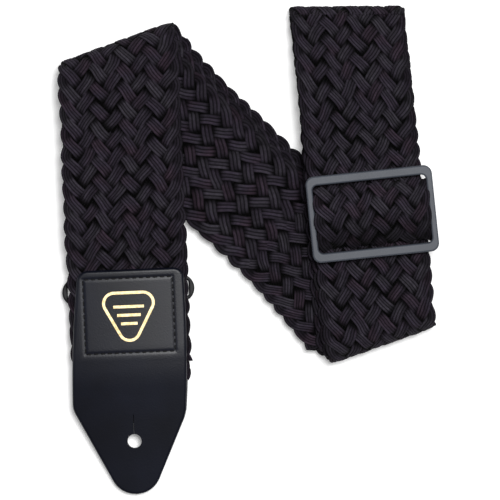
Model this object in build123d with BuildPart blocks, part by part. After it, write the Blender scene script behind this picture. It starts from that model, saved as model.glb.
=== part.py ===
from build123d import *
from math import atan2, cos, degrees, radians, sin, tan
import os

# Folded guitar strap, lying flat with the front face of its outer runs up.
# Millimetres, +Z up. The origin is the centre of the rear leather end's button
# hole, on the surface that the strap lies on. The doubled webbing goes up the
# left run, folds over, comes down the diagonal run, folds again and goes up the
# right run, where the slider holds it. Headings are degrees from +X.

# ---- webbing ----
webbing_width = 50.8
webbing_thickness = 3.0
layer_gap = 0.2
layer_pitch = webbing_thickness + layer_gap
wrap_squeeze = 0.4
wrap_thickness = webbing_thickness - wrap_squeeze
overrun = 40.0
cutter = 120.0

# ---- plan of the folded strap ----
left_heading = 92.4
left_crease = 20.2
diagonal_under_ramp = 8.8
first_bend = 9.0
first_bend_length = 50.0
diagonal_straight = 44.0
second_bend = -14.0
second_bend_length = 60.0
right_heading = 96.0
right_straight = 100.0
droop_angle = 16.0
droop_length = 32.2
droop_radius = 60.0
returning_end_at = 62.0

# where each layer's centre crosses a crease, along the crease
front_layer = 2
inner_layer = 1
outer_layer = 0
left_fold_slip = {front_layer: 4.0, inner_layer: 1.5, outer_layer: -1.0}
right_fold_slip = {front_layer: -5.2, inner_layer: -3.7, outer_layer: -2.2}

# ---- ring ----
ring_at = 64.1
ring_bar = 2.6
ring_depth = 3.0
ring_corner_wall = 1.45
ring_slot_corner = 0.8
ring_edge_round = 0.7
wrap_clearance = 0.3
ring_loop_play = 0.5
ring_side_play = 0.8
ring_lift = 0.5
loops_gap = 0.3
ring_loop_width = webbing_width - 2 * ring_loop_play
ring_slot_width = ring_loop_width + 2 * ring_side_play
wrap_inner = ring_depth / 2 + wrap_clearance
wrap_middle = wrap_inner + wrap_thickness / 2
wrap_outer = wrap_inner + wrap_thickness
ring_slot_height = 2 * wrap_outer + loops_gap - ring_bar
ring_height = ring_slot_height + 2 * ring_bar
ring_level = wrap_outer + ring_lift
bar_offset = (ring_slot_height + ring_bar) / 2
upper_bar_at = ring_at + bar_offset
lower_bar_at = ring_at - bar_offset

# ---- front leather end ----
tab_inset = 1.4
tab_width = webbing_width - 2 * tab_inset
tab_top = 73.0
tab_shoulder = 12.6
shoulder_shift = -1.6
shoulder_tilt = 1.8
tab_top_inset = 1.5
tab_top_shift = 1.3
tab_side_bow = 0.8
tab_tip = -22.6
tab_tip_radius = 11.0
tab_corner = 4.4
leather_thickness = 2.4
button_hole_radius = 3.0
slit_length = 9.0
slit_width = 0.8
hinge_room = 2.5
hinge_at = tab_top + hinge_room
hinge_gap = 0.4
front_over_ring = 1.4
front_slope = 2.5
tip_gap = 0.5
slope_radius = 60.0
leather_gap = 0.1
leather_overrun = 5.0

# ---- stitching ----
stitch_margin = 5.0
stitch_top_margin = 3.7
stitch_box_width = tab_width - 2 * stitch_margin
stitch_box_top = tab_top - stitch_top_margin
stitch_box_length = 31.6
stitch_box_bottom = stitch_box_top - stitch_box_length
stitch_pitch = 2.75
stitch_length = 2.0
stitch_width = 0.6
groove_width = 0.9
groove_depth = 0.4
stitch_height = 0.3
webbing_end_margin = 4.7
webbing_end_at = stitch_box_bottom - webbing_end_margin
slope_change_gap = 1.0
slope_change_at = webbing_end_at - slope_change_gap

# ---- ramps of the left run, from the ring and the hinge up to the full stack ----
outer_ramp_lead = 1.5
inner_ramp_lag = 0.5
front_ramp_lead = 0.6
ramp_angle = 23.54
ramp_radius = 8.0
loop_ramp_start = hinge_at - outer_ramp_lead
inner_ramp_start = hinge_at + inner_ramp_lag

# ---- emblem ----
emblem_drop = 3.3
emblem_at = (stitch_box_top + stitch_box_bottom) / 2 - emblem_drop
emblem_width = 29.0
emblem_height = 27.0
emblem_line = 1.2
emblem_thickness = 0.15
pick_round = 5.0
pick_bars = 3
pick_bar_width = 13.0
pick_bar_narrowing = 3.0
pick_bar_top = 7.0
pick_bar_step = 3.6

# ---- rear leather end and its connector ----
rear_top = 51.0
rear_thickness = 2.2
rear_stitch_margin = 3.5
rear_stitch_top = rear_top - rear_stitch_margin
rear_stitch_length = 19.0
connector_end_margin = 2.5
connector_end = rear_stitch_top - rear_stitch_length - connector_end_margin
connector_join_gap = 0.5
connector_join = rear_top + connector_join_gap
connector_offset = 0.3

# ---- slider ----
slider_at = 48.0
slider_offset = 1.5
slider_length = 36.6
slider_wall = 2.7
slider_end_wall = 3.9
slider_corner = 3.6
window_squeeze = 1.3
window_width = webbing_width - 2 * window_squeeze
window_length = slider_length - 2 * slider_end_wall
window_corner = 2.1
slider_width = window_width + 2 * slider_wall
bar_width = 7.0
bar_thickness = 1.8
bar_clearance = 0.2
end_wrap_thickness = 1.6
slide_clearance = 0.3
arch_squeeze = 0.4
arch_thickness = webbing_thickness - arch_squeeze
arch_clearance = 0.4
arch_end_play = 1.8
arch_half_span = window_length / 2 - arch_end_play
arch_foot = 1.75
slider_edge_round = 0.8
arch_play = 0.4
end_wrap_play = 0.7
arch_width = window_width - 2 * arch_play
end_wrap_width = window_width - 2 * end_wrap_play

# ---- levels of the layers' middles ----
half = webbing_thickness / 2
upper_base = 3 * layer_pitch
hinge_level = ring_level + wrap_outer + front_over_ring + half


def lower_level(layer):
    return half + layer * layer_pitch


def upper_level(layer):
    return upper_base + lower_level(layer)


def direction(heading):
    return Vector(cos(radians(heading)), sin(radians(heading)), 0)


def side_plane(origin, heading, offset=0.0):
    """Plane that stands along a run: X along it, Y up, Z to its right. Offset is to the right."""
    right = direction(heading - 90)
    return Plane(origin=Vector(*origin) + right * offset, x_dir=direction(heading), z_dir=right)


def crease_plane(origin, heading):
    """Plane across a crease: X out of the fold, Y up, Z along the crease."""
    return Plane(origin=origin, x_dir=direction(heading + 90), z_dir=direction(heading))


def along(heading, distance, origin=(0, 0, 0)):
    return Vector(*origin) + direction(heading) * distance


# ---- ramps: the inner layer climbs at the ramp angle, and the other two keep clear of it ----
run_from_bar = wrap_inner + half
ramp_rise = upper_level(inner_layer) - ring_level - run_from_bar
loop_ramp_end = inner_ramp_start + ramp_rise / tan(radians(ramp_angle))
front_ramp_end = loop_ramp_end - front_ramp_lead

# ---- plan points worked out from the driving dimensions ----
# the left run is long enough for the diagonal run to pass under it above the ring
crease_lean = radians(left_crease - (left_heading - 90))
fold_reach = webbing_width * (1 / tan(2 * crease_lean) + tan(crease_lean) / 2)
left_fold_at = loop_ramp_end + fold_reach - diagonal_under_ramp
left_corner = along(left_heading, left_fold_at)
diagonal_start = along(left_crease, left_fold_slip[inner_layer], left_corner)
diagonal_heading = 2 * left_crease - left_heading


def bend(start, heading, length, turn):
    """End point of an arc of the given length that turns by turn degrees."""
    radius = length / radians(abs(turn))
    chord = 2 * radius * sin(radians(abs(turn)) / 2)
    return along(heading + turn / 2, chord, start)


heading_a = diagonal_heading + first_bend
heading_b = heading_a + second_bend
point_a = bend(diagonal_start, diagonal_heading, first_bend_length, first_bend)
point_b = along(heading_a, diagonal_straight, point_a)
right_corner = bend(point_b, heading_a, second_bend_length, second_bend)
right_crease = (heading_b + right_heading) / 2 + 180
left_fold_plane = crease_plane(left_corner, left_crease)
right_fold_plane = crease_plane(right_corner, right_crease)
left_cross = sin(radians(left_heading - left_crease))
right_cross = abs(sin(radians(right_heading - right_crease)))
diagonal_offset = {k: (v - left_fold_slip[inner_layer]) * left_cross for k, v in left_fold_slip.items()}
right_offset = {k: -v * right_cross for k, v in right_fold_slip.items()}
right_start = {k: along(right_crease, v, right_corner) for k, v in right_fold_slip.items()}


def fold_solid(plane, level, radius, thickness, width, cross, upper, lower):
    """Half turn of webbing round a crease. upper and lower are where its middle crosses the crease."""
    with BuildPart() as turn:
        with BuildSketch(plane):
            with Locations((0, level)):
                Circle(radius + thickness / 2)
                Circle(radius - thickness / 2, mode=Mode.SUBTRACT)
            with Locations((-cutter / 2, level)):
                Rectangle(cutter, cutter, mode=Mode.SUBTRACT)
        extrude(amount=cutter, both=True)
        lean = Vector(0, -(upper - lower), 2 * radius).normalized()
        for side, keep in ((1, Keep.BOTTOM), (-1, Keep.TOP)):
            edge = Vector(0, level, (upper + lower) / 2 + side * width / 2 / cross)
            edge_plane = Plane(
                origin=plane.from_local_coords(edge),
                z_dir=plane.from_local_coords(edge + lean) - plane.from_local_coords(edge),
            )
            split(bisect_by=edge_plane, keep=keep)
    return turn.part


# ---- diagonal run: three layers, the front layer lowest ----
with BuildPart() as webbing_diagonal_run:
    for layer, aside in diagonal_offset.items():
        level = lower_level(front_layer - layer)
        with BuildLine() as diagonal_path:
            Line(along(diagonal_heading, -overrun, diagonal_start), diagonal_start)
            TangentArc(diagonal_start, point_a, tangent=direction(diagonal_heading))
            Line(point_a, point_b)
            TangentArc(point_b, right_corner, tangent=direction(heading_a))
            Line(right_corner, along(heading_b, overrun, right_corner))
        section_plane = Plane(
            origin=along(diagonal_heading, -overrun, diagonal_start),
            x_dir=direction(diagonal_heading + 90),
            z_dir=direction(diagonal_heading),
        )
        with BuildSketch(section_plane) as section:
            with Locations((aside, level)):
                Rectangle(webbing_width, webbing_thickness)
        sweep(sections=section.sketch, path=diagonal_path.wire())
    for plane in (left_fold_plane, right_fold_plane):
        split(bisect_by=Plane(origin=plane.origin, z_dir=plane.x_dir), keep=Keep.BOTTOM)
webbing_diagonal_run.part.label = "webbing_diagonal_run"

# ---- left run: the returning layers rise from the ring, the front layer from the leather end ----
hinge_clear = half + hinge_gap
ramp_slope = (upper_level(front_layer) - hinge_level) / (front_ramp_end - hinge_at)
front_start = hinge_level + hinge_clear * ramp_slope
left_routes = {
    outer_layer: [(upper_bar_at, ring_level - run_from_bar), (loop_ramp_start, ring_level - run_from_bar)],
    inner_layer: [(upper_bar_at, ring_level + run_from_bar), (inner_ramp_start, ring_level + run_from_bar)],
    front_layer: [(hinge_at + hinge_clear, front_start)],
}
with BuildPart() as webbing_left_run:
    for layer, route in left_routes.items():
        top_of_ramp = front_ramp_end if layer == front_layer else loop_ramp_end
        points = route + [(top_of_ramp, upper_level(layer)), (left_fold_at + overrun, upper_level(layer))]
        with BuildSketch(side_plane((0, 0, 0), left_heading)):
            with BuildLine():
                FilletPolyline(*points, radius=ramp_radius)
            trace(line_width=webbing_thickness)
        extrude(amount=webbing_width / 2, both=True)
    split(bisect_by=Plane(origin=left_fold_plane.origin, z_dir=left_fold_plane.x_dir), keep=Keep.BOTTOM)
webbing_left_run.part.label = "webbing_left_run"

# ---- left fold and right fold ----
left_turns = []
right_turns = []
for layer in (front_layer, inner_layer, outer_layer):
    below = lower_level(front_layer - layer)
    above = upper_level(layer)
    turn_size = ((above + below) / 2, (above - below) / 2, webbing_thickness, webbing_width)
    left_turns.append(fold_solid(left_fold_plane, *turn_size, left_cross, 0.0, left_fold_slip[layer]))
    entry = -diagonal_offset[layer] / right_cross
    right_turns.append(fold_solid(right_fold_plane, *turn_size, right_cross, right_fold_slip[layer], entry))
with BuildPart() as webbing_left_fold:
    add(left_turns)
webbing_left_fold.part.label = "webbing_left_fold"
with BuildPart() as webbing_right_fold:
    add(right_turns)
webbing_right_fold.part.label = "webbing_right_fold"

# ---- right run: front layer through the slider, the loop's two layers below it ----
run_rise = layer_pitch
run_slope = degrees(atan2(run_rise, right_straight))
droop = direction(-droop_angle)
stack_middle = (upper_level(outer_layer) + upper_level(front_layer) + run_rise) / 2
droop_end = Vector(right_straight, stack_middle, 0) + droop * droop_length


def run_level(distance):
    """Level of the front layer's middle along the right run."""
    return upper_level(front_layer) + run_rise * distance / right_straight


def droop_points(level, reach):
    """Where a layer bends down and where its droop ends, kept parallel to the other layers."""
    height = level - stack_middle
    first = Vector(right_straight + height * tan(radians(droop_angle / 2)), level, 0)
    across = direction(90 - droop_angle) * height
    last = Vector(right_straight, stack_middle, 0) + droop * reach + across
    return [(first.X, first.Y), (last.X, last.Y)]


right_levels = {outer_layer: upper_level(outer_layer), inner_layer: upper_level(inner_layer)}
with BuildPart() as webbing_right_run:
    front_level = upper_level(front_layer)
    front_points = [(-overrun, front_level), (0, front_level)]
    front_points += droop_points(front_level + run_rise, droop_length)
    with BuildSketch(side_plane(right_corner, right_heading, right_offset[front_layer])):
        with BuildLine():
            FilletPolyline(*front_points, radius=droop_radius)
        trace(line_width=webbing_thickness)
    extrude(amount=webbing_width / 2, both=True)
    for layer, level in right_levels.items():
        with BuildSketch(side_plane(right_corner, right_heading, right_offset[layer])):
            with BuildLine():
                FilletPolyline((-overrun, level), *droop_points(level, droop_length), radius=droop_radius)
            trace(line_width=webbing_thickness)
        extrude(amount=webbing_width / 2, both=True)
    # the returning end thins out towards the slider, where it is pressed flat
    under = upper_level(inner_layer) + half + layer_gap
    bends = [droop_points(level, droop_length) for level in (under, under + webbing_thickness)]
    with BuildSketch(side_plane(right_corner, right_heading, right_offset[inner_layer])) as thinned:
        with BuildLine():
            Polyline(
                (returning_end_at, under),
                *bends[0],
                *reversed(bends[1]),
                (returning_end_at, run_level(returning_end_at) - half - layer_gap),
                close=True,
            )
        make_face()
        at_bends = [v for v in thinned.vertices() if abs(v.X - right_straight) < half]
        fillet(at_bends, radius=droop_radius)
    extrude(amount=webbing_width / 2, both=True)
    split(bisect_by=Plane(origin=right_fold_plane.origin, z_dir=right_fold_plane.x_dir), keep=Keep.BOTTOM)
webbing_right_run.part.label = "webbing_right_run"

# ---- top fold: both layers of the loop turn over at the end of the right run ----
run_origin = along(right_heading, droop_end.X, right_corner)
fold_out = direction(right_heading) * droop.X + Vector(0, 0, droop.Y)
top_fold_plane = Plane(
    origin=Vector(run_origin.X, run_origin.Y, droop_end.Y),
    x_dir=fold_out,
    z_dir=direction(right_heading - 90),
)
top_turns = []
for count, upper, lower in ((3, front_layer, outer_layer), (1, inner_layer, inner_layer)):
    top_turns.append(
        fold_solid(
            top_fold_plane,
            0.0,
            count * layer_pitch / 2,
            webbing_thickness,
            webbing_width,
            1.0,
            right_offset[upper],
            right_offset[lower],
        )
    )
with BuildPart() as webbing_top_fold:
    add(top_turns)
webbing_top_fold.part.label = "webbing_top_fold"


def bar_loop(bar_at, side, width, offset):
    """Webbing round one bar of the ring: a half turn on the side that faces the other bar."""
    with BuildPart() as loop:
        with BuildSketch(side_plane((0, 0, 0), left_heading, offset)):
            with Locations((bar_at, ring_level)):
                Circle(wrap_outer)
                Circle(wrap_inner, mode=Mode.SUBTRACT)
            with Locations((bar_at - side * cutter / 2, ring_level)):
                Rectangle(cutter, cutter, mode=Mode.SUBTRACT)
        extrude(amount=width / 2, both=True)
    return loop.part


# ---- webbing loop round the ring's upper bar ----
with BuildPart() as webbing_ring_loop:
    add(bar_loop(upper_bar_at, -1, ring_loop_width, 0.0))
webbing_ring_loop.part.label = "webbing_ring_loop"

# ---- ring: an oval loop with two bars ----
ring_plane = Plane(
    origin=along(left_heading, ring_at, (0, 0, ring_level)),
    x_dir=direction(left_heading - 90),
    z_dir=(0, 0, 1),
)
# the side walls are as thick as keeps the given wall between the slot's corner and the round end
end_reach = ring_height / 2 - ring_slot_corner
corner_rise = ring_slot_height / 2 - ring_slot_corner
ring_side = end_reach - ((end_reach - ring_corner_wall) ** 2 - corner_rise**2) ** 0.5
ring_width = ring_slot_width + 2 * ring_side
with BuildPart() as strap_ring:
    with BuildSketch(ring_plane):
        SlotOverall(ring_width, ring_height)
        RectangleRounded(ring_slot_width, ring_slot_height, ring_slot_corner, mode=Mode.SUBTRACT)
    extrude(amount=ring_depth / 2, both=True)
    flat_faces = strap_ring.faces().filter_by(Axis.Z)
    fillet(flat_faces.edges(), radius=ring_edge_round)
strap_ring.part.label = "strap_ring"

# ---- connector: short webbing loop that joins the rear leather end to the ring ----
ply_levels = {
    -1: rear_thickness + layer_gap + wrap_thickness / 2,
    1: rear_thickness + 2 * layer_gap + 3 * wrap_thickness / 2,
}
with BuildPart() as ring_connector:
    for side, ply_level in ply_levels.items():
        with BuildSketch(side_plane((0, 0, 0), left_heading, connector_offset)):
            with BuildLine():
                Polyline(
                    (lower_bar_at, ring_level + side * wrap_middle),
                    (connector_join, ply_level),
                    (connector_end, ply_level),
                )
            trace(line_width=wrap_thickness)
        extrude(amount=ring_loop_width / 2, both=True)
    add(bar_loop(lower_bar_at, 1, ring_loop_width, connector_offset))
ring_connector.part.label = "ring_connector"


def tab_side(top, side):
    """Points of one side of a leather end, from the round tip up to the top corner."""
    shoulder = Vector(tab_width / 2 + side * shoulder_shift, tab_shoulder - side * shoulder_tilt, 0)
    corner = Vector(tab_width / 2 - tab_top_inset + side * tab_top_shift, top, 0)
    bowed = (shoulder + corner) / 2 + Vector(tab_side_bow, 0, 0)
    centre = Vector(0, tab_tip + tab_tip_radius, 0)
    reach = shoulder - centre
    spread = degrees(atan2(reach.Y, reach.X))
    tangent_angle = spread - degrees(atan2((reach.length**2 - tab_tip_radius**2) ** 0.5, tab_tip_radius))
    touch = centre + direction(tangent_angle) * tab_tip_radius
    return [(side * point.X, point.Y) for point in (touch, shoulder, bowed, corner)]


def tab_outline(top):
    """Outline of a leather end in its own plane: hand-cut, a little skewed, with a round tip."""
    right_touch, right_shoulder, right_bowed, right_corner_point = tab_side(top, 1)
    left_touch, left_shoulder, left_bowed, left_corner_point = tab_side(top, -1)
    with BuildSketch(mode=Mode.PRIVATE) as outline:
        with BuildLine():
            Line(right_touch, right_shoulder)
            ThreePointArc(right_shoulder, right_bowed, right_corner_point)
            Line(right_corner_point, left_corner_point)
            ThreePointArc(left_corner_point, left_bowed, left_shoulder)
            Line(left_shoulder, left_touch)
            ThreePointArc(left_touch, (0, tab_tip), right_touch)
        make_face()
        fillet(outline.vertices().group_by(Axis.Y)[-1], radius=tab_corner)
    return outline.sketch


def button_hole():
    """Round hole with the slit that lets the strap button's head through."""
    with BuildSketch(mode=Mode.PRIVATE) as hole:
        Circle(button_hole_radius)
        with Locations((0, (button_hole_radius + slit_length) / 2)):
            Rectangle(slit_width, button_hole_radius + slit_length)
    return hole.sketch


def stitch_places(top, length):
    """Centre and turn of each stitch round a rectangle of the given length and the common width."""
    across = int(stitch_box_width // stitch_pitch)
    down = int(length // stitch_pitch)
    places = []
    for i in range(across):
        x = (i + 0.5 - across / 2) * stitch_box_width / across
        places += [Location((x, top), 0), Location((x, top - length), 0)]
    for i in range(down):
        y = top - (i + 0.5) * length / down
        places += [Location((side * stitch_box_width / 2, y), 90) for side in (-1, 1)]
    return places


# ---- rear leather end, face down ----
tab_turn = left_heading - 90
rear_plane = Plane(origin=(0, 0, 0), x_dir=direction(tab_turn), z_dir=(0, 0, 1))
with BuildPart() as rear_leather_end:
    with BuildSketch(rear_plane):
        add(tab_outline(rear_top))
        add(button_hole(), mode=Mode.SUBTRACT)
    extrude(amount=rear_thickness)
    with BuildSketch(rear_plane):
        with Locations((0, rear_stitch_top - rear_stitch_length / 2)):
            Rectangle(stitch_box_width + groove_width, rear_stitch_length + groove_width)
            Rectangle(
                stitch_box_width - groove_width, rear_stitch_length - groove_width, mode=Mode.SUBTRACT
            )
    extrude(amount=groove_depth, mode=Mode.SUBTRACT)
rear_leather_end.part.label = "rear_leather_end"

with BuildPart() as rear_stitching:
    with BuildSketch(rear_plane.offset(groove_depth - stitch_height)):
        with Locations(*stitch_places(rear_stitch_top, rear_stitch_length)):
            SlotOverall(stitch_length, stitch_width)
    extrude(amount=stitch_height)
rear_stitching.part.label = "rear_stitching"

# ---- front end of the webbing, under the leather ----
front_fall = tan(radians(front_slope))


def front_level_at(distance, lift=0.0):
    """Level of the front webbing end's middle, or lift above it, at a distance from the hole."""
    return hinge_level - (hinge_at - distance) * front_fall + lift


with BuildPart() as webbing_front_end:
    with BuildSketch(side_plane((0, 0, 0), left_heading)):
        with BuildLine():
            Line((hinge_at, hinge_level), (webbing_end_at, front_level_at(webbing_end_at)))
        trace(line_width=webbing_thickness)
        with Locations((hinge_at, hinge_level)):
            Circle(webbing_thickness / 2)
    extrude(amount=webbing_width / 2, both=True)
webbing_front_end.part.label = "webbing_front_end"

# ---- front leather end: lies on the webbing end, then slopes down to the rear one ----
leather_lift = (half + leather_gap + leather_thickness / 2) / cos(radians(front_slope))
bend_level = front_level_at(slope_change_at, leather_lift)
tip_level = rear_thickness + tip_gap + leather_thickness / 2
tip_fall = (bend_level - tip_level) / (slope_change_at - tab_tip)
tip_slope = degrees(atan2(tip_fall, 1))
hole_level = bend_level - slope_change_at * tip_fall
beyond_top = tab_top + leather_overrun
beyond_tip = tab_tip - leather_overrun
with BuildPart() as front_leather_end:
    with BuildSketch(side_plane((0, 0, 0), left_heading)):
        with BuildLine():
            FilletPolyline(
                (beyond_top, front_level_at(beyond_top, leather_lift)),
                (slope_change_at, bend_level),
                (beyond_tip, hole_level + beyond_tip * tip_fall),
                radius=slope_radius,
            )
        trace(line_width=leather_thickness)
    extrude(amount=tab_width, both=True)
    with BuildSketch(rear_plane):
        add(tab_outline(tab_top))
    extrude(amount=cutter, both=True, mode=Mode.INTERSECT)
    run_out = direction(left_heading)
    tilt = radians(tip_slope)
    hole_plane = Plane(
        origin=(0, 0, hole_level),
        x_dir=direction(tab_turn),
        z_dir=Vector(0, 0, cos(tilt)) - run_out * sin(tilt),
    )
    with BuildSketch(hole_plane):
        add(button_hole())
    extrude(amount=leather_thickness, both=True, mode=Mode.SUBTRACT)
    lift_to_top = leather_lift + leather_thickness / 2 / cos(radians(front_slope))
    face_tilt = radians(front_slope)
    face_plane = Plane(
        origin=along(left_heading, tab_top) + Vector(0, 0, front_level_at(tab_top, lift_to_top)),
        x_dir=direction(tab_turn),
        z_dir=Vector(0, 0, cos(face_tilt)) - run_out * sin(face_tilt),
    )
    box_middle = stitch_box_top - stitch_box_length / 2 - tab_top
    with BuildSketch(face_plane):
        with Locations((0, box_middle)):
            Rectangle(stitch_box_width + groove_width, stitch_box_length + groove_width)
            Rectangle(
                stitch_box_width - groove_width, stitch_box_length - groove_width, mode=Mode.SUBTRACT
            )
    extrude(amount=-groove_depth, mode=Mode.SUBTRACT)
front_leather_end.part.label = "front_leather_end"

with BuildPart() as front_stitching:
    with BuildSketch(face_plane.offset(-groove_depth)):
        with Locations(*stitch_places(stitch_box_top - tab_top, stitch_box_length)):
            SlotOverall(stitch_length, stitch_width)
    extrude(amount=stitch_height)
front_stitching.part.label = "front_stitching"

# ---- emblem: a plain foil plectrum outline with three bars in it ----
pick_half = emblem_width / 2
emblem_plane = Plane(
    origin=face_plane.from_local_coords(Vector(0, emblem_at - tab_top, 0)),
    x_dir=face_plane.x_dir,
    z_dir=face_plane.z_dir,
)
with BuildPart() as front_emblem:
    with BuildSketch(emblem_plane):
        with BuildLine():
            FilletPolyline(
                (-pick_half, emblem_height / 2),
                (pick_half, emblem_height / 2),
                (0, -emblem_height / 2),
                close=True,
                radius=pick_round,
            )
        make_face()
        offset(amount=-emblem_line, mode=Mode.SUBTRACT)
        for row in range(pick_bars):
            with Locations((0, pick_bar_top - pick_bar_step * row)):
                Rectangle(pick_bar_width - pick_bar_narrowing * row, emblem_line)
    extrude(amount=emblem_thickness)
front_emblem.part.label = "front_emblem"

# ---- slider ----
slide_tilt = radians(run_slope)
slider_ground = along(right_heading, slider_at, right_corner)
slider_side = right_offset[front_layer] + slider_offset
slider_origin = slider_ground + direction(right_heading - 90) * slider_side
run_up = direction(right_heading) * cos(slide_tilt) + Vector(0, 0, sin(slide_tilt))
run_normal = Vector(0, 0, cos(slide_tilt)) - direction(right_heading) * sin(slide_tilt)
webbing_top = Vector(slider_origin.X, slider_origin.Y, run_level(slider_at)) + run_normal * half
slider_plane = Plane(origin=webbing_top, x_dir=direction(right_heading - 90), z_dir=run_normal)
# across the centre bar: X up the run, Y out of the slider's face, Z to the right
bar_plane = Plane(origin=webbing_top, x_dir=run_up, z_dir=direction(right_heading - 90))
end_wrap_bottom = slide_clearance
bar_bottom = end_wrap_bottom + end_wrap_thickness + bar_clearance
bar_top = bar_bottom + bar_thickness
end_wrap_top = bar_top + bar_clearance + end_wrap_thickness
slider_height = end_wrap_top - slide_clearance
arch_top = end_wrap_top + arch_clearance + arch_thickness / 2
with BuildPart() as tri_glide_slider:
    with BuildSketch(slider_plane.offset(slide_clearance)):
        RectangleRounded(slider_width, slider_length, slider_corner)
        RectangleRounded(window_width, window_length, window_corner, mode=Mode.SUBTRACT)
    extrude(amount=slider_height)
    rim = tri_glide_slider.faces().filter_by(Plane(slider_plane.origin, z_dir=run_normal))
    fillet(rim.edges(), radius=slider_edge_round)
    with BuildSketch(bar_plane):
        with Locations((0, (bar_bottom + bar_top) / 2)):
            SlotOverall(bar_width, bar_thickness)
    extrude(amount=(window_width + slider_edge_round) / 2, both=True)
tri_glide_slider.part.label = "tri_glide_slider"


# ---- webbing end sewn round the centre bar ----
with BuildPart() as webbing_end_wrap:
    inner_height = bar_thickness + 2 * bar_clearance
    outer_height = inner_height + 2 * end_wrap_thickness
    with BuildSketch(bar_plane):
        with Locations((0, (bar_bottom + bar_top) / 2)):
            SlotCenterToCenter(bar_width - bar_thickness, outer_height)
            SlotCenterToCenter(bar_width - bar_thickness, inner_height, mode=Mode.SUBTRACT)
    extrude(amount=end_wrap_width / 2, both=True)
webbing_end_wrap.part.label = "webbing_end_wrap"

# ---- webbing arched over the centre bar ----
with BuildPart() as webbing_over_bar:
    with BuildSketch(bar_plane):
        with BuildLine():
            ThreePointArc((-arch_half_span, arch_foot), (0, arch_top), (arch_half_span, arch_foot))
        trace(line_width=arch_thickness)
    extrude(amount=arch_width / 2, both=True)
webbing_over_bar.part.label = "webbing_over_bar"

pieces = [
    webbing_left_run,
    webbing_left_fold,
    webbing_diagonal_run,
    webbing_right_fold,
    webbing_right_run,
    webbing_top_fold,
    webbing_ring_loop,
    strap_ring,
    ring_connector,
    rear_leather_end,
    rear_stitching,
    webbing_front_end,
    front_leather_end,
    front_stitching,
    front_emblem,
    tri_glide_slider,
    webbing_end_wrap,
    webbing_over_bar,
]
os.makedirs("parts", exist_ok=True)
for piece in pieces:
    export_step(piece.part, f"parts/{piece.part.label}.step")
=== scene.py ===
"""Looks of the folded guitar strap: braided webbing, leather ends, ring and slider.

Lengths in the tables below are millimetres in the part's frame, and meshes are made in metres.
"""
from math import atan2, cos, pi, radians, sin, sqrt, tan

import bpy
import numpy as np
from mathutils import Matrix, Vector


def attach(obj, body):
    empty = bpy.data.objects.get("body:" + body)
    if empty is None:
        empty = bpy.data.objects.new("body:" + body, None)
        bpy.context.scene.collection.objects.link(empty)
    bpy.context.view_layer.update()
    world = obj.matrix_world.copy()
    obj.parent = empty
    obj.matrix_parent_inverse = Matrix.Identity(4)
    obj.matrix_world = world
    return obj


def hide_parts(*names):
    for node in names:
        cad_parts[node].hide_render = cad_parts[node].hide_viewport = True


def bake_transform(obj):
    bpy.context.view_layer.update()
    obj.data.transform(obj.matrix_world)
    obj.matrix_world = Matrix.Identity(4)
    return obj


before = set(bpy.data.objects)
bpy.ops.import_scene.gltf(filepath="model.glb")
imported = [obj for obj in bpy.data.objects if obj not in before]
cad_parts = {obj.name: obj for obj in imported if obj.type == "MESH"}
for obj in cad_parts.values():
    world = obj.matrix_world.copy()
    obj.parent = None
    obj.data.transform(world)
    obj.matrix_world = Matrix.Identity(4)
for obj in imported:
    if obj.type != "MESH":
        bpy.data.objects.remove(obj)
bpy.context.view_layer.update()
MM = 0.001

# ---- the strap's dimensions ----
HALF = 1.5  # half the webbing's thickness
PITCH = 3.2  # from one layer of the stack to the next
LEFT_HEADING, LEFT_FOLD_AT, LEFT_CREASE = 92.4, 160.3, 20.2
FIRST_BEND, FIRST_LENGTH, STRAIGHT, SECOND_BEND, SECOND_LENGTH = 9.0, 50.0, 44.0, -14.0, 60.0
RIGHT_HEADING, RIGHT_STRAIGHT = 96.0, 100.0
DROOP_ANGLE, DROOP_LENGTH = 16.0, 32.2
LEFT_SLIP = {2: 4.0, 1: 1.5, 0: -1.0}
RIGHT_SLIP = {2: -5.2, 1: -3.7, 0: -2.2}
RING_LEVEL, UPPER_BAR, LOWER_BAR = 4.9, 68.65, 59.55
RING_TURN_RADIUS, RING_PLY = 3.1, 3.3
RING_RAMP_FROM, RING_RAMP_END, FRONT_RAMP_END = {1: 76, 0: 74}, 90, 89.4
RING_SQUEEZE_FROM, RING_SQUEEZE_OVER = 82.0, 11.0
HINGE_AT, HINGE_LEVEL, WEBBING_END = 75.5, 12.2, 33.0
FRONT_SLOPE, TIP_SLOPE, SLOPE_CHANGE = 2.5, 9.568, 32.0


def heading(angle):
    """Unit direction in plan at an angle in degrees."""
    return np.array([cos(radians(angle)), sin(radians(angle))])


def lower_level(layer):
    """Height of a layer's middle where the stack lies on the floor."""
    return HALF + PITCH * layer


def upper_level(layer):
    """Height of a layer's middle where the stack lies on another stack."""
    return 3 * PITCH + lower_level(layer)


def smooth_line(x, points, soft):
    """Level and slope along a line of straight runs whose corners are eased over the soft distance."""
    slopes = [(b[1] - a[1]) / (b[0] - a[0]) for a, b in zip(points, points[1:])]
    level = points[0][1] + slopes[0] * (x - points[0][0])
    slope = np.full_like(x, slopes[0])
    for corner, before, after in zip(points[1:-1], slopes, slopes[1:]):
        t = x - corner[0]
        eased = np.where(t < -soft, 0.0, np.where(t > soft, t, (t + soft) ** 2 / (4 * soft)))
        rate = np.clip((t + soft) / (2 * soft), 0.0, 1.0)
        level = level + (after - before) * eased
        slope = slope + (after - before) * rate
    return level, slope


# ---- left run ----
LEFT, LEFT_RIGHT = heading(LEFT_HEADING), heading(LEFT_HEADING - 90)
FRONT_FALL = tan(radians(FRONT_SLOPE))
FAR = 400


def ring_line(layer, level):
    """A layer's run from its level at the ring up the ramp to its place in the stack."""
    top = upper_level(layer)
    return [(0, level), (RING_RAMP_FROM[layer], level), (RING_RAMP_END, top), (FAR, top)]


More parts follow.
